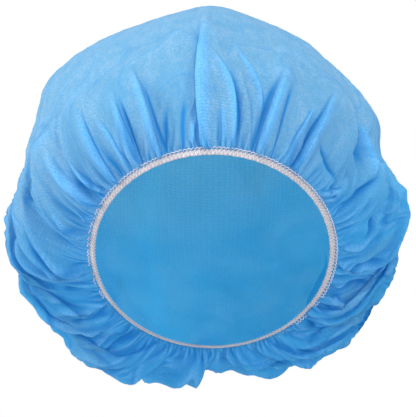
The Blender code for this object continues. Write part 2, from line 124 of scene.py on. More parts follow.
# Crisp pleats and creases over the main folds: the angles and ways of points along them, wide, high, start,
# full, lean and power. "wide" and "high" are in millimetres, below 0 for a crease. "start" is the share of
# the height at the first point, and "full" is where along it is highest. "lean" folds it over to its left (-)
# or right (+), looking away from the elastic. "power" is 2 for a round back, less for sharp, more for flat.
PLEATS = (
    # Middle of the forehead
    ((-2, -3, -3.5, -3.5), (0, 0.1, 0.26, 0.5), 3.2, 2.4, 0.6, 0.35, -0.9, 3),
    ((-4.5, -5, -6, -5.5), (0, 0.1, 0.26, 0.48), 1.3, -1.6, 0.4, 0.4, 0, 1.3),
    ((7, 6.5, 3.5, -2), (0, 0.08, 0.17, 0.27), 1.5, 1.6, 0.4, 0.4, 0.8, 1.6),
    ((9.5, 9.5, 7, 2.5), (0.01, 0.07, 0.14, 0.21), 1.5, -1.9, 0.3, 0.45, 0, 1.4),
    ((19, 18, 13, 4), (0.06, 0.13, 0.22, 0.36), 1.6, 1.3, 0, 0.45, 0.7, 1.5),
    ((4, 4, 3), (0, 0.05, 0.11), 1, 1, 0.5, 0.4, -0.5, 1.5),
    ((-9, -8, -6), (0, 0.04, 0.08), 1.3, 1.5, 0.6, 0.4, 0.3, 1.5),
    ((-13, -12, -10), (0, 0.06, 0.13), 1.8, -1, 0.4, 0.4, 0, 1.5),
    ((-20, -20, -18), (0, 0.05, 0.11), 1.5, -0.9, 0.4, 0.4, 0, 1.5),
    # Right of the forehead
    ((20, 22, 26, 33), (0, 0.06, 0.14, 0.31), 2.6, 3, 0.4, 0.35, -0.6, 1.7),
    ((17.5, 19.5, 23, 29), (0.01, 0.07, 0.14, 0.24), 1.6, -1.5, 0.4, 0.4, 0, 1.4),
    ((26, 27, 29, 32), (0, 0.07, 0.13, 0.2), 1.2, -1.1, 0.4, 0.4, 0, 1.3),
    ((31, 33, 37, 41), (0, 0.05, 0.1, 0.15), 1, 1.4, 0.4, 0.4, -0.6, 1.4),
    ((38, 39, 43, 50), (0, 0.05, 0.13, 0.27), 2, 3.2, 0.4, 0.35, -0.9, 1.6),
    ((36, 37, 40, 44), (0, 0.04, 0.1, 0.15), 1.2, -1.9, 0.5, 0.45, 0, 1.3),
    ((40, 45, 51, 59), (0.07, 0.052, 0.042, 0.04), 1.2, -1.9, 0.1, 0.5, 0, 1.2),
    ((52, 56, 61, 66), (0, 0.014, 0.035, 0.075), 1.4, 1.9, 0.4, 0.5, -0.7, 1.4),
    ((58, 61, 65), (0, 0.018, 0.045), 1.1, 1.6, 0.4, 0.5, -0.7, 1.4),
    ((56, 62, 66, 67), (0.23, 0.18, 0.13, 0.08), 3.2, -3.2, 0.1, 0.55, 0, 1.8),
    ((60, 67, 71, 71), (0.22, 0.17, 0.12, 0.08), 2.2, 2, 0.1, 0.5, -0.8, 1.6),
    ((69, 69, 71, 74), (0.015, 0.04, 0.075, 0.11), 1.5, -3.2, 0.3, 0.5, 0, 1.2),
    ((66, 67, 68, 68), (0, 0.012, 0.025, 0.04), 1, -1.6, 0.4, 0.5, 0, 1.2),
    # Right side
    ((84, 86.5, 87, 85), (0.055, 0.05, 0.04, 0.024), 1.2, -2.8, 0.6, 0.2, 0, 1.2),
    ((84, 86, 88, 88), (0, 0.012, 0.03, 0.045), 1.1, 1.7, 0.4, 0.5, 0.6, 1.4),
    ((92, 96, 99, 101), (0, 0.02, 0.05, 0.11), 1.5, 2.4, 0.4, 0.4, 0.9, 1.4),
    ((104, 106, 109, 114), (0, 0.02, 0.065, 0.13), 1.2, 2, 0.4, 0.45, 1, 1.4),
    ((106, 109, 112, 117), (0, 0.02, 0.065, 0.12), 1.2, -2.2, 0.5, 0.4, 0, 1.3),
    ((111, 114, 118, 123), (0, 0.02, 0.045, 0.065), 1.5, 2.8, 0.3, 0.5, -0.9, 1.5),
    ((118, 119, 121), (0, 0.02, 0.045), 1.3, -1.5, 0.4, 0.5, 0, 1.4),
    ((131, 134, 140), (0, 0.03, 0.08), 1.6, -1.8, 0.4, 0.5, 0, 1.4),
    ((95, 98, 101), (0.1, 0.085, 0.07), 1.6, 1.6, 0.2, 0.5, 0.6, 1.6),
    ((96, 96.5, 98.5, 102), (0, 0.03, 0.06, 0.1), 1.3, -2.4, 0.5, 0.4, 0, 1.2),
    # Left of the forehead
    ((-23.5, -26, -30, -34), (0, 0.06, 0.14, 0.25), 1.8, 2.8, 0.6, 0.35, 0.9, 1.8),
    ((-20.5, -23, -27, -32), (0, 0.06, 0.13, 0.2), 1.2, -1.6, 0.5, 0.35, 0, 1.3),
    ((-34, -34, -36, -38), (0, 0.05, 0.1, 0.16), 1.7, 2.3, 0.4, 0.35, 0.8, 1.5),
    ((-32, -32, -34, -36), (0, 0.04, 0.1, 0.14), 1, -1.7, 0.5, 0.35, 0, 1.3),
    ((-37, -38, -40, -44), (0, 0.03, 0.07, 0.12), 1.3, 1.5, 0.4, 0.4, 0.6, 1.5),
    ((-47, -45.5, -46, -48), (0, 0.04, 0.09, 0.15), 1.9, 2.3, 0.5, 0.4, 0.8, 1.5),
    ((-43, -42.5, -44), (0, 0.03, 0.07), 1.2, -1.3, 0.5, 0.35, 0, 1.3),
    ((-53, -56, -58, -59), (0, 0.02, 0.05, 0.1), 1.3, 2, 0.5, 0.4, 0.9, 1.5),
    ((-61, -62, -64, -66), (0, 0.03, 0.07, 0.13), 3, 2.8, 0.4, 0.4, 0.4, 2),
    ((-56, -59, -61), (0, 0.03, 0.06), 1.1, -1.3, 0.5, 0.35, 0, 1.3),
    # Left side
    ((-67, -70, -74), (0, 0.01, 0.02), 1.1, 1.4, 0.5, 0.4, 0.5, 1.5),
    ((-79, -78, -76, -73), (0, 0.02, 0.04, 0.08), 1.4, 2.2, 0.4, 0.5, -0.8, 1.4),
    ((-97, -97.5, -93, -85), (0, 0.025, 0.055, 0.12), 1.2, 2.4, 0.4, 0.35, -0.8, 1.4),
    ((-100, -99.5, -95, -88), (0, 0.025, 0.06, 0.11), 1.2, -2, 0.5, 0.4, 0, 1.3),
    ((-103, -100, -100, -104), (0, 0.03, 0.05, 0.09), 1.4, 1.6, 0.4, 0.5, -0.6, 1.4),
    ((-107, -106, -107, -109), (0, 0.03, 0.06, 0.1), 1.3, -1.9, 0.5, 0.45, 0, 1.4),
    ((-110, -111, -114), (0.012, 0.03, 0.055), 1.9, -2.4, 0.3, 0.45, 0, 1.6),
    ((-118, -120, -122, -126), (0, 0.035, 0.06, 0.12), 1.7, 2.4, 0.3, 0.5, -0.9, 1.5),
    ((-121, -124, -127), (0, 0.04, 0.09), 1.3, -1.8, 0.4, 0.5, 0, 1.4),
    ((-128, -128, -129, -129), (0, 0.03, 0.06, 0.1), 1.5, 1.9, 0.3, 0.5, -0.8, 1.5),
    ((-137, -137, -140, -142), (0, 0.04, 0.08, 0.13), 1.6, 1.8, 0.3, 0.5, -0.7, 1.5),
    ((-141, -141, -143), (0, 0.04, 0.08), 1.4, -1.9, 0.4, 0.5, 0, 1.4),
)

# Gathers between the pleats: count, high, full, reach, tone, front and seed. "count" is how many go round,
# "high" their height in millimetres, "full" where they stand highest and "reach" where they end, "tone" how
# clearly they show as doubled cloth with painted shade in the crease beside them, and "front" the share of
# their height left at the forehead.
GATHERS = (
    (176, 1.25, 0.01, 0.05, 1, 0.8, 3),
    (92, 1.4, 0.024, 0.1, 0.8, 0.75, 5),
    (47, 0.95, 0.055, 0.17, 0.2, 0.5, 8),
    (24, 0.85, 0.11, 0.38, 0, 0.3, 13),
)

# Places where the cloth lies in a single layer, greyer with painted shade of the dim inside seen through it:
# angle, way, reach round (degrees) and along, and how clearly
SINGLE_LAYER_SHADE = (
    (-16, 0.13, 9, 0.11, 0.7), (-37, 0.14, 5, 0.09, 0.8), (-52, 0.09, 5, 0.06, 0.9),
    (-73, 0.035, 6, 0.022, 1), (-89, 0.035, 4, 0.015, 0.7), (-106, 0.05, 4, 0.02, 0.7),
    (-127, 0.07, 4, 0.03, 0.8), (-147, 0.11, 6, 0.04, 0.9), (28, 0.14, 4, 0.09, 0.3),
    (42, 0.15, 5, 0.09, 0.7), (60, 0.08, 7, 0.07, 0.9), (94, 0.06, 4, 0.03, 0.6),
    (116, 0.06, 6, 0.04, 1.2), (134, 0.1, 5, 0.04, 0.8),
)

# Sharp irregular folds all over: how many to a radian and on the whole way up, their height in millimetres,
# how far they wander in degrees, and seed
CRUMPLES = (
    (4.2, 3.2, 3.4, 16, 2),
    (9, 6, 1.7, 9, 16),
    (19, 11, 0.7, 5, 9),
)

# The grid: from which way to which, rows and columns. The columns stand closer at the forehead and the sides
# than behind: FRONT_CLOSER and SIDES_CLOSER are shares of their mean distance.
GRID = (
    (0, 0.12, 48, 1280),
    (0.12, 0.4, 36, 640),
    (0.4, 0.8, 16, 320),
    (0.8, 0.94, 8, 160),
    (0.94, 0.985, 4, 80),
)
FRONT_CLOSER = 0.5
SIDES_CLOSER = 0.15

# The nape's middle is filled out by this much more than in the source, over so many degrees each way
NAPE_AT = -176.5
NAPE_FILL = 0.0055
NAPE_SPREAD = 8

# What is kept for each point: its way sideways, up and out in millimetres, its doubled band and the painted
# shade of its crease
SIDE, UP, OUT, BAND, CREASE_SHADE = range(5)

# Soft waves of loose cloth: direction, size in metres, height in millimetres and seed
WAVES = (
    (OUT, 0.03, 2.4, 1),
    (OUT, 0.013, 1, 4),
    (SIDE, 0.026, 2.2, 2),
)

# The stitched hem stays flat over this width
HEM_WIDTH = 0.0028

# The gathers' slack: how many times longer than the smooth cap the cloth is at each way, round it at the
# forehead, the sides and the nape, then along it at the sides and behind
SLACK = (
    (0, 1.12, 1.12, 1.12, 1), (0.015, 1.22, 1.2, 1.22, 1.01), (0.05, 1.16, 1.21, 1.36, 1.03),
    (0.1, 1.08, 1.14, 1.36, 1.04), (0.2, 1.03, 1.07, 1.28, 1.04), (0.35, 1.02, 1.04, 1.18, 1.04),
    (0.5, 1.02, 1.03, 1.12, 1.03), (0.7, 1.01, 1.02, 1.06, 1.02), (0.94, 1, 1, 1, 1),
)

# The slack cloth settles in passes, each on a finer grid: grid rows and columns to a step, steps of time, how
# firmly it is held to its plain pleats, and its stiffness
SETTLE = (
    (4, 160, 0.006, 0.16),
    (2, 120, 0.006, 0.12),
    (1, 80, 0.008, 0.1),
)
SPEED_KEPT = 0.86
SPEED_GAINED = 0.42
CROSS_PULL = 0.15

# Places where the hanging cloth is drawn in: x, z and reach in the front view, and the pull right and up
TUCKS = (
    (-0.126, 0.018, 0.03, 0.003, 0), (-0.118, -0.03, 0.022, 0.0045, 0),
    (-0.09, -0.068, 0.026, 0.006, 0.005), (0.122, 0.024, 0.03, -0.0022, 0),
    (0.106, -0.036, 0.022, -0.003, 0), (0.088, -0.058, 0.03, -0.006, 0.0055),
)

# A fold as tight as this shows clearly, bluer on its ridge and darker with painted shade in its crease,
# less so by this share over the plainer back
RIDGE_SIZE = 0.004
BACK_PLAIN = 0.75

# The lower cloth is gathered in more layers, and painted darker and bluer as shade from the light above:
# below this height, fully so this much lower, and from higher up on the right by this slant
GATHERED_SHADE_BELOW = 0.072
GATHERED_SHADE_OVER = 0.085
GATHERED_SHADE_SLANT = 0.2

# Elastic band: its own width and thickness, and how far its width is turned from upright to lie outwards. Its
# section is an oblong squared by two powers, with ribs. It sways a little: how far, how often and from where.
BAND_WIDTH = 0.0032
BAND_THICKNESS = 0.0011
TWIST = (
    (0, 22), (30, 38), (60, 60), (95, 76), (130, 72), (180, 60), (230, 54), (270, 46), (310, 40), (340, 28),
)
BAND_STEPS = 1500
BAND_SIDES = 28
SQUARE_WIDE = 0.75
SQUARE_THICK = 0.55
RIB_DEPTH = 0.13
RIB_TURNS = 4.5
CRINKLE_DEPTH = 0.06
SWAYS = ((0.00012, 61, 0), (0.0001, 97, 1))

# Overlock threads: stitches all round, the thread's radius, where in a stitch it turns back, and how far the
# loops stand off the band. The knot winds five times while it goes three times round.
STITCHES = 194
THREAD = 0.00019
THREAD_SIDES = 6
THREAD_TURN = 0.72
LOOP_LIFT = 0.0011
LOOP_SEED = 21
KNOT_AT = -100.6
KNOT_SIZE = 0.001
KNOT_STEPS = 240

# Light: the world's strength from below and from above and behind, and each lamp's place, size and power
WORLD_TOWARDS = (0.0, 0.45, 0.89)
WORLD_LOW = 0.16
WORLD_HIGH = 1.15
LAMPS = (
    ("key", (-0.3, -1.1, 1.5), 0.8, 16),
    ("fill", (0.8, -1.6, 0.5), 1.2, 16),
    ("left", (-1.7, -0.5, 0.4), 1, 23),
    ("right", (1.7, -0.5, 0.6), 1, 4),
)
LAMP_TARGET = (0, 0, 0.05)
FLOOR_LEVEL = -0.42
FLOOR_RADIUS = 2.6
CAMERA_PLACE = (-0.0026, -1.3, 0.0273)
CAMERA_LENS = 195.0


def smooth_curve(x, y, at):
    """A smooth curve through the points (x, y), read at each place."""
    slope = np.gradient(y, x)
    i = np.clip(np.searchsorted(x, at, side="right") - 1, 0, len(x) - 2)
    step = x[i + 1] - x[i]
    t = np.clip((at - x[i]) / step, 0.0, 1.0)
    t2, t3 = t * t, t * t * t
    return (
        (2 * t3 - 3 * t2 + 1) * y[i]
        + (t3 - 2 * t2 + t) * step * slope[i]
        + (3 * t2 - 2 * t3) * y[i + 1]
        + (t3 - t2) * step * slope[i + 1]
    )


def round_curve(x, y, at):
    """A smooth curve through rows that go once round a circle."""
    turns = np.concatenate([x - 360, x, x + 360])
    return smooth_curve(turns, np.tile(y, 3), np.mod(at - x[0], 360) + x[0])


def mirrored_curve(x, y, at):
    """A smooth curve through rows that stand for one half of a shape, level where the halves meet."""
    both = np.concatenate([2 * x[0] - x[:0:-1], x, 2 * x[-1] - x[-2::-1]])
    return smooth_curve(both, np.concatenate([y[:0:-1], y, y[-2::-1]]), at)


def curves(kind, rows, at):
    """A table's columns at each place, each as a curve of this kind over the first column."""
    first, *others = np.array(rows, float).T
    return [kind(first, values, at) for values in others]


def ease(t):
    """0 up to t = 0, 1 from t = 1, and smooth between."""
    t = np.clip(t, 0.0, 1.0)
    return t * t * (3 - 2 * t)


def unit(vectors):
    return vectors / length(vectors)


def wrap(angle):
    """The same angle between -180 and 180."""
    return (angle + 180) % 360 - 180


def ring_axes():
    """Unit vectors of the elastic ring's frame: right, forward and up through the ring."""
    tilt = math.radians(RING_TILT)
    right = np.array([1.0, 0.0, 0.0])
    forward = np.array([0.0, -math.cos(tilt), math.sin(tilt)])
    up = np.array([0.0, math.sin(tilt), math.cos(tilt)])
    return right, forward, up


def ring_point(around):
    angle = np.radians(around)[..., None]
    right, forward, _ = ring_axes()
    return RING_WIDTH / 2 * np.sin(angle) * right + RING_LENGTH / 2 * np.cos(angle) * forward


def ring_outward(around):
    angle = np.radians(around)[..., None]
    right, forward, _ = ring_axes()
    return unit(RING_LENGTH * np.sin(angle) * right + RING_WIDTH * np.cos(angle) * forward)


def lip_target(around):
    lip = curves(mirrored_curve, LIP, np.abs(wrap(around)))
    out, rise = (SIDE_PUFF * values[..., None] for values in lip)
    return ring_point(around) + out * ring_outward(around) + rise * ring_axes()[2]


def crown_sizes(turn, outline_share):
    """Radius, front depth, back depth, widest line and power of the crown's section at each turn."""
    cosine, sine = np.cos(np.radians(turn)), np.sin(np.radians(turn))
    half_width = RING_WIDTH / 2 + SIDE_PUFF
    drop = CENTRE_UP + RING_LENGTH / 2 * math.sin(math.radians(RING_TILT)) + NAPE_DROP
    height = np.where(sine > 0, CROWN_RISE, drop)
    oval = 1 / np.sqrt((cosine / half_width) ** 2 + (sine / height) ** 2)
    reach = 1 + outline_share * (curves(round_curve, OUTLINE, turn)[0] - 1)
    from_top = np.degrees(np.arccos(np.clip(sine, -1, 1)))
    front, ring, square = curves(mirrored_curve, DEPTH, from_top)
    forehead = RING_LENGTH / 2 * math.cos(math.radians(RING_TILT)) + CENTRE_BACK + FOREHEAD_PUFF
    ring = ring * HANG_BACK
    return oval * reach, front * forehead, CROWN_BACK - ring, ring, square


def crown_direction(points):
    """The direction, on a unit sphere, in which each point lies in the crown's own measure."""
    centre = np.array([0.0, CENTRE_BACK, CENTRE_UP])
    x, y, z = np.moveaxis(points - centre, -1, 0)
    turn = np.degrees(np.arctan2(z, x))
    radius, front, back, ring, square = crown_sizes(turn, 1.0)
    depth = y - ring
    across = (np.hypot(x, z) / radius) ** (square / 2)
    along = np.abs(depth / np.where(depth < 0, front, back)) ** (square / 2)
    lean = np.arctan2(across, np.where(depth < 0, along, -along))
    flat = np.radians(turn)
    return np.stack([np.sin(lean) * np.cos(flat), -np.cos(lean), np.sin(lean) * np.sin(flat)], axis=-1)


def crown_point(direction):
    """The point of the smooth crown in each direction."""
    x, y, z = np.moveaxis(direction, -1, 0)
    across, along = np.hypot(x, z), -y
    turn = np.degrees(np.arctan2(z, x))
    radius, front, back, ring, square = crown_sizes(turn, np.where(along > 0, 1.0, across**4))
    spread = across ** (2 / square)
    depth = np.abs(along) ** (2 / square) * np.where(along > 0, -front, back) + ring
    flat = np.radians(turn)
    reach = radius * spread
    return np.stack([reach * np.cos(flat), depth + CENTRE_BACK, reach * np.sin(flat) + CENTRE_UP], axis=-1)


def meridian(around, way):
    """Directions on the way from the elastic at each angle to the crown's middle."""
    start = crown_direction(lip_target(around))
    apex = ring_axes()[2]
    angle = np.arccos(np.clip(start @ apex, -1, 1))[..., None]
    way = way[..., None]
    return (np.sin((1 - way) * angle) * start + np.sin(way * angle) * apex) / np.sin(angle)


def smooth_cap(around, way):
    """The cap without its folds. Its edge lies inside the elastic's seam."""
    crown = crown_point(meridian(around, way))
    across = band_frame(around)[2]
    hem = ring_point(around) + 0.25 * BAND_WIDTH * across
    t = np.clip(way / LIP_SHARE, 0, 1)[..., None]
    spread = 1 - (1 - t) ** LIP_QUICKNESS
    return hem * (1 - spread) + crown * spread


def band_frame(around):
    """Middle, run, width direction and face direction of the elastic at each angle."""
    turn = np.radians(curves(round_curve, TWIST, around)[0])[..., None]
    outward, up = ring_outward(around), ring_axes()[2]
    across = np.cos(turn) * up + np.sin(turn) * outward
    face = np.cos(turn) * outward - np.sin(turn) * up
    return ring_point(around), np.cross(across, face), across, face


def surface_frames(around, way):
    """Unit vectors round, up and out of the smooth cap, and its millimetres for each degree and way."""
    step, turn = 0.002, 0.2
    low, high = np.clip(way - step, 0, 1), np.clip(way + step, 0, 1)
    up = (smooth_cap(around, high) - smooth_cap(around, low)) / (high - low)[..., None]
    side = (smooth_cap(around + turn, way) - smooth_cap(around - turn, way)) / (2 * turn)
    out = unit(np.cross(side, up))
    per_degree, per_way = np.linalg.norm(side, axis=-1) * 1000, np.linalg.norm(up, axis=-1) * 1000
    return unit(side), np.cross(out, unit(side)), out, per_degree, per_way


def main_folds(around, way):
    """The source's folds: how far they lift the cloth and shift it sideways, in metres."""
    circle = math.pi * math.sqrt((RING_LENGTH**2 + RING_WIDTH**2) / 2)
    lift, shift = np.zeros_like(around), np.zeros_like(around)
    for at, turn, reach, full, wide, high, lean in MAIN_FOLDS:
        along = way / reach
        apart = wrap(around - at - turn * along)
        width = FOLD_WIDTH * wide / circle * 360
        flank = width * np.where(apart > 0, 1 - LEAN_SHARE * lean, 1 + LEAN_SHARE * lean)
        rise = np.clip(way / full, 0, 1)
        fall = 1 - ease((way - full) / (reach - full))
        height = FOLD_HEIGHT * high * np.exp(-((apart / flank) ** 2)) * rise * (2 - rise) * fall
        lift += height
        shift += lean * 0.6 * np.abs(height)
    for at, middle, across, along, deep in HOLLOWS:
        apart = wrap(around - at)
        lift -= FOLD_HEIGHT * deep * np.exp(-((apart / across) ** 2) - ((way - middle) / along) ** 2)
    return lift, shift


def pleat_line(angles, ways, steps=20):
    """A smooth line through a pleat's points."""
    places = np.linspace(0, 1, steps + 1)
    return np.stack(curves(smooth_curve, [*zip(np.linspace(0, 1, len(ways)), angles, ways)], places), axis=1)


def raise_tone(moved, picked, name, values):
    moved[picked, name] = np.maximum(moved[picked, name], values)


def add_pleat(row, around, way, per_degree, per_way, moved):
    """Adds one pleat to "moved": its way sideways, up and out in millimetres, its doubled band, and painted
    shade in its crease or beside the flank it folds over.
    """
    angles, ways, wide, high, start, full, lean, power = row
    if abs(angles[0]) > SIDE_FROM:
        high, wide, sliding = high * SIDE_RISE, max(wide, SIDE_WIDTH), SIDE_SLIDE
    else:
        high, sliding = high * PLEAT_RISE, PLEAT_SLIDE
    line = pleat_line(angles, ways)
    near = wrap(around - line[:, 0].mean())
    spread = np.ptp(line[:, 0]) / 2 + 4 * wide / 1.2
    rows = (way > line[:, 1].min() - 0.04) & (way < line[:, 1].max() + 0.04)
    picked = np.flatnonzero(rows & (np.abs(near) < spread))
    x = wrap(around[picked, None] - line[None, :, 0]) * per_degree[picked, None]
    y = (way[picked, None] - line[None, :, 1]) * per_way[picked, None]
    step_x, step_y = x[:, :-1] - x[:, 1:], y[:, :-1] - y[:, 1:]
    length = np.maximum(np.hypot(step_x, step_y), 1e-9)
    share = np.clip((x[:, :-1] * step_x + y[:, :-1] * step_y) / length**2, 0, 1)
    off_x, off_y = x[:, :-1] - share * step_x, y[:, :-1] - share * step_y
    best = np.argmin(np.hypot(off_x, off_y), axis=1)
    rows = np.arange(len(picked))
    run_x, run_y = (step_x / length)[rows, best], (step_y / length)[rows, best]
    apart = off_x[rows, best] * run_y - off_y[rows, best] * run_x
    beyond = off_x[rows, best] * run_x + off_y[rows, best] * run_y
    place = (best + share[rows, best]) / (len(line) - 1)
    height = np.where(
        place < full, start + (1 - start) * ease(place / full), 1 - ease((place - full) / (1 - full))
    )
    width = wide * (0.6 + 0.4 * ease(place / full)) * np.where(apart * lean > 0, 1 - 0.4 * abs(lean), 1.15)
    across = np.abs(apart) / width
    height = height * np.exp(-((beyond / wide) ** 2)) * np.clip(way[picked] / 0.012, 0.25, 1)
    moved[picked, OUT] += high * height * np.exp(-(across**power))
    slide = lean * abs(high) * sliding * height * np.exp(-((apart / (wide * 1.1)) ** 2))
    moved[picked, SIDE] += slide * run_y
    moved[picked, UP] -= slide * run_x
    shade = np.clip(1.6 * height, 0, 1)
    # Doubled band over a pleat. The crease tone is painted shade: a painted shadow line beside the flank a
    # pleat folds over, or painted shade along a crease
    if high > 0:
        raise_tone(moved, picked, BAND, shade * np.exp(-((across / 1.1) ** 6)))
        folded_over = np.clip(abs(lean) * 1.3, 0, 1) * (apart * lean > 0)
        raise_tone(moved, picked, CREASE_SHADE, shade * np.exp(-(((across - 1.45) / 0.38) ** 2)) * folded_over)
    else:
        raise_tone(moved, picked, CREASE_SHADE, shade * np.exp(-((across / 0.8) ** 2)))


def add_gathers(row, around, way, moved):
    """Adds one size of gathers, each with its own height, length, drift and lean."""
    count, high, full, reach, tone, front, seed = row
    made = np.random.default_rng(seed)
    middle = (np.arange(count) + made.uniform(-0.32, 0.32, count)) * 360 / count
    strong = made.uniform(0.45, 1.35, count)
    ends = reach * made.uniform(0.55, 1.3, count)
    drift = made.uniform(-0.9, 0.9, count) * 360 / count
    lean = made.uniform(-1.0, 1.0, count)
    widths = 0.34 * 360 / count * made.uniform(0.75, 1.25, count)
    for i in range(count):
        span = 4 * widths[i] + abs(drift[i])
        near = np.flatnonzero((way < ends[i]) & (np.abs(wrap(around - middle[i])) < span))
        apart = wrap(around[near] - middle[i] - drift[i] * way[near] / ends[i]) / widths[i]
        rise = np.clip(way[near] / full, 0, 1)
        height = strong[i] * (0.35 + 0.65 * rise) * (1 - ease((way[near] - full) / (ends[i] - full)))
        height *= front + (1 - front) * ease((abs(wrap(middle[i])) - 40) / 50)
        bump = np.exp(-(np.abs(apart) ** 1.7))
        moved[near, OUT] += high * height * (bump - 0.35 * np.exp(-((apart / 2) ** 2)))
        moved[near, SIDE] += lean[i] * high * height * bump
        sharp = np.clip(height, 0, 1) * tone
        raise_tone(moved, near, BAND, sharp * bump**3)
        # Painted shade in the valley beside each gather
        raise_tone(moved, near, CREASE_SHADE, sharp * np.exp(-(((apart - 1.25) / 0.55) ** 2)))


def add_crumples(row, around, way, mask, moved):
    """Adds one size of sharp folds: ridges where one noise crosses 0, creases where another does."""
    round_, along, high, drift, seed = row
    turn = np.radians(around)
    places = np.stack([np.cos(turn), np.sin(turn), way], axis=1)
    turn = np.radians(around + drift * 2 * crumple(places * (2, 2, 4), 1.0, seed))
    places = np.stack([round_ * np.cos(turn), round_ * np.sin(turn), along * way], axis=1)
    ridge, crease = crumple(places, 1.0, seed + 20), crumple(places * (0.9, 0.9, 1.1), 1.0, seed + 40)
    moved[:, OUT] += mask * high * (np.clip(1 - np.abs(ridge) / 0.32, -0.6, 1) - 0.45)
    moved[:, OUT] -= mask * high * 0.7 * (np.clip(1 - np.abs(crease) / 0.22, 0, 1) - 0.2)
    strong = np.clip(mask * high / 2.0, 0, 1)
    band = np.where(ridge > 0, np.clip(1 - ridge / 0.13, 0, 1), np.clip(1 + ridge / 0.02, 0, 1))
    everywhere = slice(None)
    raise_tone(moved, everywhere, BAND, strong * band)
    # Painted shade beside each ridge and along each crease
    raise_tone(moved, everywhere, CREASE_SHADE, strong * np.clip(1 - np.abs(ridge + 0.035) / 0.03, 0, 1) * 0.8)
    raise_tone(moved, everywhere, CREASE_SHADE, strong * np.clip(1 - np.abs(crease) / 0.045, 0, 1) * 0.7)


def crumple(points, size, seed):
    """Soft noise over the points, about -1 to 1."""
    offset = Vector((seed * 7.1, seed * 3.3, seed * 5.7))
    return np.array([noise.noise(Vector(point) / size + offset) for point in points])


def hem_freedom(smooth, around):
    """0 at the elastic and 1 from the hem's far side on."""
    apart = length(smooth - smooth_cap(around, np.zeros(len(around))))
    return np.clip(apart / HEM_WIDTH, 0, 1)


def cap_points(around, way, finest, pleated):
    """Points of the cloth with gathers of up to "finest" to the round, its doubled bands and the painted shade
    of its creases.
    """
    smooth = smooth_cap(around, way)
    side, up, out, per_degree, per_way = surface_frames(around, way)
    lift, shift = main_folds(around, way)
    moved = np.zeros((len(around), 5))
    moved[:, OUT] = lift * 1000
    moved[:, SIDE] = shift * 1000
    if pleated:
        apart = np.abs(wrap(around))
        fading = 0.40 + 0.30 * ease((apart - 100) / 50)
        mask = ease((way - 0.01) / 0.08) * (1 - 0.8 * ease((way - fading) / 0.3))
        mask *= 0.2 + 0.3 * ease((apart - 50) / 40) + 0.5 * ease((apart - 90) / 30)
        for row in CRUMPLES:
            add_crumples(row, around, way, mask, moved)
        for row in PLEATS:
            add_pleat(row, around, way, per_degree, per_way, moved)
    for row in GATHERS:
        if row[0] <= finest:
            add_gathers(row, around, way, moved)
    calm = ease(way / 0.05) * (1 - ease((way - 0.85) / 0.08))
    nape = np.exp(-((wrap(around - NAPE_AT) / NAPE_SPREAD) ** 2)) * (1 - ease((way - 0.4) / 0.3))
    moved[:, OUT] += calm * nape * NAPE_FILL * 1000
    loose = 0.35 + 0.65 * ease((np.abs(wrap(around)) - 40) / 50)
    for way_moved, size, high, seed in WAVES:
        moved[:, way_moved] += calm * loose * high * crumple(smooth, size, seed)
    free = hem_freedom(smooth, around) / 1000
    off_side, off_up, off_out = (free * moved[:, i : i + 1] for i in (SIDE, UP, OUT))
    return smooth + side * off_side + up * off_up + out * off_out, moved[:, BAND], moved[:, CREASE_SHADE]


def neighbours_apart(points):
    """Vectors to the next column and to the next row."""
    return np.roll(points, -1, axis=1) - points, points[1:] - points[:-1]


def length(vectors):
    return np.maximum(np.linalg.norm(vectors, axis=-1, keepdims=True), 1e-9)


def settle(points, target, rests, hold, bend, steps):
    """Lets slack cloth buckle: it keeps its lengths, resists bending and stays near the target."""
    rest_round, rest_up, rest_cross = rests
    speed = np.zeros_like(points)
    for _ in range(steps):
        pull = hold * (target - points)
        along, rise = neighbours_apart(points)
        force = along * (0.5 - 0.5 * rest_round / length(along))
        pull += force - np.roll(force, 1, axis=1)
        force = rise * (0.5 - 0.5 * rest_up / length(rise))
        pull[:-1] += force
        pull[1:] -= force
        for turn in (-1, 1):
            cross = np.roll(points[1:], turn, axis=1) - points[:-1]
            force = cross * (CROSS_PULL - CROSS_PULL * rest_cross / length(cross))
            pull[:-1] += force
            pull[1:] -= np.roll(force, -turn, axis=1)
        curl = np.roll(points, 1, axis=1) + np.roll(points, -1, axis=1) - 2 * points
        pull += bend * (curl - 0.5 * np.roll(curl, 1, axis=1) - 0.5 * np.roll(curl, -1, axis=1)) * 0.5
        curl = points[2:] + points[:-2] - 2 * points[1:-1]
        pull[1:-1] += 0.5 * bend * curl
        speed = SPEED_KEPT * speed + SPEED_GAINED * pull
        speed[[0, -1]] = 0
        points = points + speed
    return points


def twice_as_fine(moved):
    """The same movement on a grid with twice the rows and columns."""
    middle = (moved + np.roll(moved, -1, axis=1)) / 2
    wide = np.stack([moved, middle], axis=2).reshape(len(moved), -1, 3)
    tall = np.empty((2 * len(wide) - 1, *wide.shape[1:]))
    tall[::2] = wide
    tall[1::2] = (wide[:-1] + wide[1:]) / 2
    return tall


def slack(around, way):
    """How many times longer than the smooth cap the cloth is, round it and up it."""
    front, side, back, up = curves(smooth_curve, SLACK, way)
    apart = np.abs(wrap(around))
    sideways, behind = ease((apart - 35) / 45), ease((apart - 95) / 60)
    times = front + (side - front) * sideways + (back - side) * behind
    return times, 1 + (up - 1) * sideways


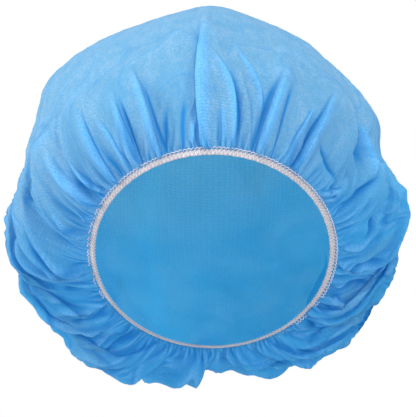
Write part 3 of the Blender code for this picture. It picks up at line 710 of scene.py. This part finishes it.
def settled_cloth(ways, columns):
    """The movement, on a grid of these ways and columns, by which the slack cloth leaves its plain pleats."""
    moved = None
    for skip, steps, hold, bend in SETTLE:
        way = ways[::skip]
        around = column_turns(columns // skip)
        shape = (len(way), len(around))
        u, v = np.broadcast_to(around, shape).ravel(), np.repeat(way, len(around))
        smooth = smooth_cap(u, v).reshape(*shape, 3)
        target = cap_points(u, v, len(around) / 6, False)[0].reshape(*shape, 3)
        times, taller = (each.reshape(*shape, 1) for each in slack(u, v))
        along, rise = neighbours_apart(smooth)
        rest_round, rest_up = times * length(along), taller[:-1] * length(rise)
        rest_cross = np.sqrt(rest_round[:-1] ** 2 + rest_up**2)
        start = target if moved is None else target + twice_as_fine(moved)
        points = settle(start, target, (rest_round, rest_up, rest_cross), hold, bend, steps)
        moved = points - target
    return moved


def column_turns(count):
    """The angles of this many columns, closer together at the forehead and the sides."""
    share = np.arange(count) / count * 2 * math.pi
    return np.degrees(share - FRONT_CLOSER * np.sin(share) + SIDES_CLOSER / 2 * np.sin(2 * share))


def grid_places():
    """Each row of the grid: its way and its number of columns."""
    places = []
    for low, high, rows, columns in GRID:
        places += [(low + (high - low) * i / rows, columns) for i in range(rows)]
    places.append((GRID[-1][1], GRID[-1][3]))
    return places


def settled_at(moved, ways, share, way):
    """The settled movement, read between its grid's points. "share" is how far round each column is, to 1."""
    row = np.clip(np.interp(way, ways, np.arange(len(ways))), 0, len(ways) - 1 - 1e-9)
    place = share * moved.shape[1]
    i, j = row.astype(int), place.astype(int)
    a, b = (row - i)[:, None], (place - j)[:, None]
    j, k = j % moved.shape[1], (j + 1) % moved.shape[1]
    low = moved[i, j] * (1 - b) + moved[i, k] * b
    high = moved[i + 1, j] * (1 - b) + moved[i + 1, k] * b
    return low * (1 - a) + high * a


def tucked(points):
    """How far each point is drawn in where the cloth hangs out too far."""
    pull = np.zeros_like(points)
    for x, z, reach, right, up in TUCKS:
        bell = np.exp(-(((points[:, 0] - x) / reach) ** 2) - ((points[:, 2] - z) / reach) ** 2)
        pull[:, 0] += bell * right
        pull[:, 2] += bell * up
    return pull


def cloth_mesh():
    places = grid_places()
    share = np.concatenate([np.arange(count) / count for _, count in places])
    around = np.concatenate([column_turns(count) for _, count in places])
    way = np.concatenate([np.full(count, place) for place, count in places])
    points, doubled, creased = cap_points(around, way, math.inf, True)
    slack_top = GRID[-2][1]
    ways = np.array([place for place, _ in places if place <= slack_top + 1e-9])
    moved = settled_cloth(ways, GRID[1][3])
    below = way <= slack_top
    free = hem_freedom(smooth_cap(around[below], way[below]), around[below]) ** 2
    points[below] += free * settled_at(moved, ways, share[below], way[below])
    points[below] += free * tucked(points[below])
    crown = smooth_cap(np.zeros(1), np.array([0.9999]))
    starts = np.cumsum([0] + [count for _, count in places])
    faces = []
    for (_, low), (_, high), first, second in zip(places, places[1:], starts, starts[1:]):
        if low == high:
            i = np.arange(low)
            j = (i + 1) % low
            faces += np.stack([first + i, first + j, second + j, second + i], axis=1).tolist()
        else:
            for i in range(high):
                a, b, c = first + 2 * i, first + 2 * i + 1, first + (2 * i + 2) % low
                d, e = second + i, second + (i + 1) % high
                faces += [(a, b, d), (b, e, d), (b, c, e)]
    last, count = starts[-2], places[-1][1]
    faces += [(last + i, last + (i + 1) % count, len(points)) for i in range(count)]
    points = np.concatenate([points, crown])
    mesh = new_mesh("cap_cloth", points, faces)
    flat = mesh.uv_layers.new(name="flat")
    radius = DISC_DIAMETER / 2 * (1 - np.append(way, 1.0))
    angle = np.radians(np.append(around, 0.0))
    place = np.stack([radius * np.sin(angle), -radius * np.cos(angle)], axis=1) / DISC_DIAMETER + 0.5
    corner = np.zeros(len(mesh.loops), np.int32)
    mesh.loops.foreach_get("vertex_index", corner)
    flat.data.foreach_set("uv", place[corner].astype(np.float32).ravel())
    plain = BACK_PLAIN * ease((abs(wrap(around)) - 110) / 50) * ease((way - 0.08) / 0.12)
    clear = 1 - np.append(plain, BACK_PLAIN)
    # Tones for the colour: doubled cloth, and painted shade in creases, on the lower cloth and in single layers
    tones = {
        "ridge": 0.5 + (ridges_and_crease_shade_of(mesh, points) - 0.5) * clear,
        "doubled": np.append(doubled, 0.0) * clear,
        "creased": np.append(creased, 0.0) * clear,
        "gathered": ease((GATHERED_SHADE_BELOW + GATHERED_SHADE_SLANT * points[:, 0] - points[:, 2]) / GATHERED_SHADE_OVER),
        "single": np.append(single_layer(around, way), 0.0),
    }
    for name, values in tones.items():
        tone = mesh.attributes.new(name, "FLOAT", "POINT")
        tone.data.foreach_set("value", values.astype(np.float32))
    return mesh


def single_layer(around, way):
    """How clearly each place shows as a single layer, greyed with painted shade of the dim inside behind it."""
    shown = np.zeros(len(around))
    for at, middle, across, along, share in SINGLE_LAYER_SHADE:
        apart = (wrap(around - at) / across) ** 2 + ((way - middle) / along) ** 2
        shown = np.maximum(shown, share * np.exp(-(apart**2)))
    return shown


def ridges_and_crease_shade_of(mesh, points):
    """How far each point stands on a ridge (towards 1) or in a crease (towards 0): ridges get a bluer tone,
    creases painted shade.
    """
    ends = np.zeros(2 * len(mesh.edges), np.int32)
    mesh.edges.foreach_get("vertices", ends)
    start, end = ends.reshape(-1, 2).T
    normals = np.zeros(3 * len(points), np.float32)
    mesh.vertex_normals.foreach_get("vector", normals)
    count = np.bincount(ends, minlength=len(points))

    def mean_of(at_start, at_end):
        return (np.bincount(start, at_start, len(points)) + np.bincount(end, at_end, len(points))) / count

    def around_mean(values):
        return mean_of(values[end], values[start])

    spans = np.linalg.norm(points[start] - points[end], axis=1)
    mean = np.stack([around_mean(points[:, i]) for i in range(3)], axis=1)
    bend = -np.sum((mean - points) * normals.reshape(-1, 3), axis=1) / mean_of(spans, spans) ** 2
    for _ in range(2):
        bend = (bend + around_mean(bend)) / 2
    return 0.5 + 0.5 * np.tanh(bend * RIDGE_SIZE)


def new_mesh(name, points, faces):
    mesh = bpy.data.meshes.new(name)
    mesh.from_pydata(points.tolist(), [], faces)
    mesh.shade_smooth()
    return mesh


def ring_mesh(name, points):
    """A tube that closes on itself, from its sections' points: an array of sections, corners and places."""
    count, sides = points.shape[:2]
    i = np.arange(count)[:, None] * sides
    j = (i + sides) % (count * sides)
    k = np.arange(sides)[None, :]
    following = (k + 1) % sides
    faces = np.stack([i + k, j + k, j + following, i + following], axis=-1).reshape(-1, 4)
    return new_mesh(name, points.reshape(-1, 3), faces.tolist())


def add_object(data, material=None):
    made = bpy.data.objects.new(data.name, data)
    if material:
        data.materials.append(material)
    bpy.context.scene.collection.objects.link(made)
    return made


def elastic_mesh():
    """The flat elastic: lengthwise ribs over its rubber threads, crinkled where it has drawn in."""
    around = np.arange(BAND_STEPS) * 360 / BAND_STEPS
    middle, _, across, face = band_frame(around)
    turn = np.arange(BAND_SIDES) * 2 * math.pi / BAND_SIDES
    wide = np.sign(np.cos(turn)) * np.abs(np.cos(turn)) ** SQUARE_WIDE
    thick = np.sign(np.sin(turn)) * np.abs(np.sin(turn)) ** SQUARE_THICK
    ribs = 1 + RIB_DEPTH * np.cos(wide * RIB_TURNS * math.pi)
    angle = np.radians(around)
    crinkle = 1 + CRINKLE_DEPTH * np.sin(angle * 2 * STITCHES)[:, None] * np.sign(thick)[None, :]
    a = BAND_WIDTH / 2 * wide[None, :, None]
    b = BAND_THICKNESS / 2 * (thick * ribs)[None, :] * crinkle
    sway = sum(size * np.sin(angle * times + start) for size, times, start in SWAYS)
    points = middle[:, None] + (a + sway[:, None, None]) * across[:, None] + b[..., None] * face[:, None]
    return ring_mesh("cap_elastic", points)


def thread_line(across_at, face_at, samples):
    """A thread that repeats every stitch: where it lies across the band and off its face, in half widths."""
    place = np.arange(STITCHES * samples) / samples
    phase = place % 1.0
    middle, _, across, face = band_frame(place * 360 / STITCHES)
    uneven = np.repeat(np.random.default_rng(LOOP_SEED).uniform(0.85, 1.15, STITCHES), samples)
    a = BAND_WIDTH / 2 * across_at(phase, uneven)
    return middle + a[:, None] * across + face_at(phase)[:, None] * face, face


def thread_tube(name, line, radius, face, material):
    """A thread along a closed line, with a direction off the line at each point."""
    run = unit(np.roll(line, -1, axis=0) - np.roll(line, 1, axis=0))
    side = unit(np.cross(run, face))
    turn = (np.arange(THREAD_SIDES) * 2 * math.pi / THREAD_SIDES)[None, :, None]
    ring = np.cos(turn) * side[:, None] + np.sin(turn) * np.cross(side, run)[:, None]
    return add_object(ring_mesh(name, line[:, None] + radius * ring), material)


def overlock_threads(material):
    """The looper threads over both faces and the loops they leave along the cloth's side."""
    off = BAND_THICKNESS / 2 + THREAD * 0.9

    def slanted(phase, uneven):
        back = (phase - THREAD_TURN) / (1 - THREAD_TURN)
        return np.where(phase < THREAD_TURN, -0.98 + 1.98 * phase / THREAD_TURN, 1.0 - 1.98 * back)

    def over(phase):
        back = (phase - THREAD_TURN) / (1 - THREAD_TURN)
        return np.where(phase < THREAD_TURN, off, off - THREAD * 0.8 * np.sin(math.pi * back))

    def scallop(phase, uneven):
        return 1.0 + 0.5 * uneven * np.sqrt(np.clip(np.sin(math.pi * phase), 0, 1))

    rows = (
        ("thread_front", slanted, over, THREAD, 14),
        ("thread_back", slanted, lambda phase: -over(phase), THREAD, 14),
        ("thread_loops", scallop, lambda phase: off + LOOP_LIFT * np.sin(math.pi * phase), THREAD * 1.15, 12),
        ("thread_loops_back", scallop, lambda phase: -0.0004 + 0 * phase, THREAD * 1.1, 12),
    )
    for name, across_at, face_at, radius, samples in rows:
        line, face = thread_line(across_at, face_at, samples)
        yield thread_tube(name, line, radius, face, material)


def thread_knot(material):
    """The knotted end of the sewing thread at the left temple."""
    middle, run, across, face = (each[0] for each in band_frame(np.array([KNOT_AT])))
    turn = (np.arange(KNOT_STEPS) * 2 * math.pi / KNOT_STEPS)[:, None]
    wide, thick = KNOT_SIZE * (1 + 0.45 * np.cos(5 * turn)), KNOT_SIZE * 0.5 * np.sin(5 * turn)
    off = np.cos(3 * turn) * wide * across + np.sin(3 * turn) * 1.5 * wide * run + thick * face
    line = middle + BAND_WIDTH * 0.62 * across + (BAND_THICKNESS / 2 + KNOT_SIZE * 0.6) * face + off
    return thread_tube("thread_knot", line, THREAD * 0.9, unit(off), material)


class Nodes:
    """The node tree of a material or world, with short ways to add linked nodes."""

    def __init__(self, owner):
        owner.use_nodes = True
        self.tree = owner.node_tree

    def put(self, node, **inputs):
        """Links or sets the node's inputs. A name has _ for a space, and one like _1 counts from 0."""
        for name, value in inputs.items():
            socket = node.inputs[int(name[1:]) if name.startswith("_") else name.replace("_", " ")]
            if isinstance(value, bpy.types.NodeSocket):
                self.tree.links.new(value, socket)
            else:
                socket.default_value = value
        return node

    def add(self, kind, **inputs):
        return self.put(self.tree.nodes.new(kind), **inputs)

    def mixed(self, factor, a, b, kind="MIX"):
        node = self.tree.nodes.new("ShaderNodeMix")
        node.data_type = "RGBA"
        node.blend_type = kind
        return self.put(node, _0=factor, _6=a, _7=b).outputs[2]

    def mixed_shader(self, factor, a, b):
        return self.add("ShaderNodeMixShader", _0=factor, _1=a, _2=b).outputs[0]

    def ramp(self, source, low, high, start=0.0, end=1.0):
        """Source from low to high, as start to end."""
        made = self.add("ShaderNodeMapRange", _0=source, _1=low, _2=high, _3=start, _4=end)
        return made.outputs[0]

    def noise(self, place, scale, detail, roughness=0.5):
        made = self.add("ShaderNodeTexNoise", Vector=place, Scale=scale, Detail=detail, Roughness=roughness)
        return made.outputs["Fac"]

    def tone(self, name, low, high, start=0.0, end=1.0):
        """The mesh's tone of this name, from low to high, as start to end."""
        node = self.tree.nodes.new("ShaderNodeAttribute")
        node.attribute_name = name
        return self.ramp(node.outputs["Fac"], low, high, start, end)

    def fibres(self, place, turn, stretch, scale):
        """Streaks of noise that run at this angle."""
        turned = self.add("ShaderNodeMapping", Vector=place, Scale=stretch)
        self.put(turned, Rotation=(0, 0, math.radians(turn)))
        return self.noise(turned.outputs[0], scale, 4.0, 0.7)


def new_material(name):
    made = bpy.data.materials.new(name)
    nodes = Nodes(made)
    return made, nodes, nodes.tree.nodes["Principled BSDF"]


def cloth_material():
    """Thin spun-bonded cloth: bond dots, loose fibres, cloudy density, and light through it, with painted shade
    in creases, low down and where one layer shows the dim inside.
    """
    made, nodes, shader = new_material("blue non-woven cloth")
    uv = nodes.add("ShaderNodeUVMap")
    uv.uv_map = "flat"
    scaled = nodes.add("ShaderNodeVectorMath", _0=uv.outputs["UV"])
    scaled.operation = "SCALE"
    nodes.put(scaled, Scale=DISC_DIAMETER * 1000)
    millimetres = scaled.outputs[0]
    dots = nodes.add("ShaderNodeTexVoronoi", Vector=millimetres, Scale=0.72, Randomness=0.12)
    dots.voronoi_dimensions = "2D"
    apart = dots.outputs["Distance"]
    along = nodes.fibres(millimetres, 37, (0.8, 4.2, 1), 1.1)
    fibres = nodes.mixed(0.5, along, nodes.fibres(millimetres, -58, (0.7, 4.6, 1), 1.0))
    cloud = nodes.noise(millimetres, 0.06, 2.0)
    grain = nodes.noise(nodes.add("ShaderNodeTexCoord").outputs["Object"], 980.0, 2.0, 0.7)
    base = nodes.mixed(nodes.ramp(cloud, 0.25, 0.75), (0.42, 0.56, 0.58, 1), (0.27, 0.46, 0.51, 1))
    layers = (
        # Partly more layers, partly painted shade low down, away from the light above
        (nodes.tone("gathered", 0.0, 1.0), (0.035, 0.46, 0.8)),
        # One layer, greyed with painted shade of the dim inside seen through it
        (nodes.tone("single", 0.0, 1.2), (0.19, 0.4, 0.48)),
        (nodes.tone("ridge", 0.6, 1.3), (0.2, 0.57, 0.94)),
        (nodes.tone("doubled", 0.05, 1.1), (0.19, 0.54, 0.96)),
        (nodes.ramp(grain, 0.58, 0.42, 0.0, 0.62), (0.05, 0.33, 0.6)),
        (nodes.ramp(fibres, 0.42, 0.66, 0.0, 0.3), (0.42, 0.7, 0.92)),
        (nodes.ramp(apart, 0.42, 0.22, 0.0, 0.5), (0.06, 0.38, 0.68)),
        # Painted shade in concave creases, from the ridge tone
        (nodes.tone("ridge", 0.42, 0.05), (0.02, 0.26, 0.6)),
        # Painted shade in creases and painted shadow beside folded-over flanks
        (nodes.tone("creased", 0.0, 0.95), (0.025, 0.23, 0.56)),
    )
    for share, colour in layers:
        base = nodes.mixed(share, base, (*colour, 1))
    height = nodes.mixed(0.55, fibres, nodes.ramp(apart, 0.42, 0.22))
    bump = nodes.add("ShaderNodeBump", Height=height, Strength=0.22, Distance=0.0003)
    bump.invert = True
    facing = bump.outputs[0]
    nodes.put(shader, Base_Color=base, Normal=facing, Roughness=0.62, Specular_IOR_Level=0.12)
    nodes.put(shader, Sheen_Weight=0.06, Sheen_Roughness=0.45)
    through = nodes.add("ShaderNodeBsdfTranslucent", Color=(0.03, 0.46, 0.82, 1), Normal=facing)
    clear = nodes.add("ShaderNodeBsdfTransparent", Color=(0.4, 0.76, 0.98, 1))
    share = nodes.tone("doubled", 0.0, 1.1, 0.42, 0.24)
    lit = nodes.mixed_shader(share, shader.outputs[0], through.outputs[0])
    seen = nodes.mixed_shader(nodes.ramp(cloud, 0.35, 0.65, 0.03, 0.08), lit, clear.outputs[0])
    nodes.put(nodes.tree.nodes["Material Output"], Surface=seen)
    return made


def elastic_material(name, pale, deep, scale):
    """White covered elastic or thread: fine filaments with a little grey between."""
    made, nodes, shader = new_material(name)
    place = nodes.add("ShaderNodeTexCoord").outputs["Object"]
    weave = nodes.noise(place, scale, 5.0, 0.65)
    patch = nodes.ramp(nodes.noise(place, 60.0, 2.0), 0.35, 0.75)
    tint = nodes.mixed(nodes.ramp(weave, 0.38, 0.62), deep, pale)
    tint = nodes.mixed(patch, tint, (0.93, 0.92, 0.93, 1), "MULTIPLY")
    bump = nodes.add("ShaderNodeBump", Height=weave, Strength=0.5, Distance=0.0002)
    nodes.put(shader, Base_Color=tint, Normal=bump.outputs[0], Roughness=0.75)
    nodes.put(shader, Specular_IOR_Level=0.25, Sheen_Weight=0.3)
    return made


def build_cloth():
    cloth = add_object(cloth_mesh(), cloth_material())
    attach(cloth, "root")
    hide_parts("bouffant_cloth")


def build_elastic():
    white = elastic_material("white elastic", (0.57, 0.53, 0.56, 1), (0.37, 0.35, 0.37, 1), 2600.0)
    thread = elastic_material("white thread", (0.78, 0.78, 0.84, 1), (0.6, 0.6, 0.66, 1), 4200.0)
    band = add_object(elastic_mesh(), white)
    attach(band, "root")
    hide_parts("elastic_band")
    for piece in [*overlock_threads(thread), thread_knot(thread)]:
        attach(piece, "root")


def build_world():
    """Soft white light, stronger from above and behind. The camera sees plain white."""
    world = bpy.data.worlds.new("studio")
    nodes = Nodes(world)
    place = nodes.add("ShaderNodeTexCoord").outputs["Generated"]
    height = nodes.add("ShaderNodeVectorMath", _0=place, _1=WORLD_TOWARDS)
    height.operation = "DOT_PRODUCT"
    strength = nodes.ramp(height.outputs["Value"], -0.5, 1.0, WORLD_LOW, WORLD_HIGH)
    soft = nodes.put(nodes.tree.nodes["Background"], Color=(1, 1, 1, 1), Strength=strength)
    seen = nodes.add("ShaderNodeBackground", Color=(1, 1, 1, 1))
    path = nodes.add("ShaderNodeLightPath").outputs["Is Camera Ray"]
    surface = nodes.mixed_shader(path, soft.outputs[0], seen.outputs[0])
    nodes.put(nodes.tree.nodes["World Output"], Surface=surface)
    bpy.context.scene.world = world


def build_stage():
    turn = np.arange(96) * 2 * math.pi / 96
    points = [(FLOOR_RADIUS * math.cos(t), FLOOR_RADIUS * math.sin(t), FLOOR_LEVEL) for t in turn]
    floor_mesh = bpy.data.meshes.new("floor")
    floor_mesh.from_pydata(points, [], [range(len(points))])
    grey, nodes, shader = new_material("pale floor")
    nodes.put(shader, Base_Color=(0.62, 0.62, 0.62, 1), Roughness=0.8)
    floor = add_object(floor_mesh, grey)
    for name, place, size, power in LAMPS:
        data = bpy.data.lights.new(name, "AREA")
        data.size = size
        data.energy = power
        lamp = add_object(data)
        lamp.location = place
        lamp.rotation_euler = (Vector(LAMP_TARGET) - Vector(place)).to_track_quat("-Z", "Y").to_euler()


def build_camera():
    data = bpy.data.cameras.new("camera")
    data.lens = CAMERA_LENS
    data.sensor_width = 36.0
    data.clip_start, data.clip_end = 0.05, 60
    camera = add_object(data)
    camera.location = CAMERA_PLACE
    camera.rotation_euler = (math.radians(90), 0, 0)
    bpy.context.scene.camera = camera


bpy.context.scene.view_settings.view_transform = "Standard"
build_camera()
build_stage()
build_world()
build_cloth()
build_elastic()
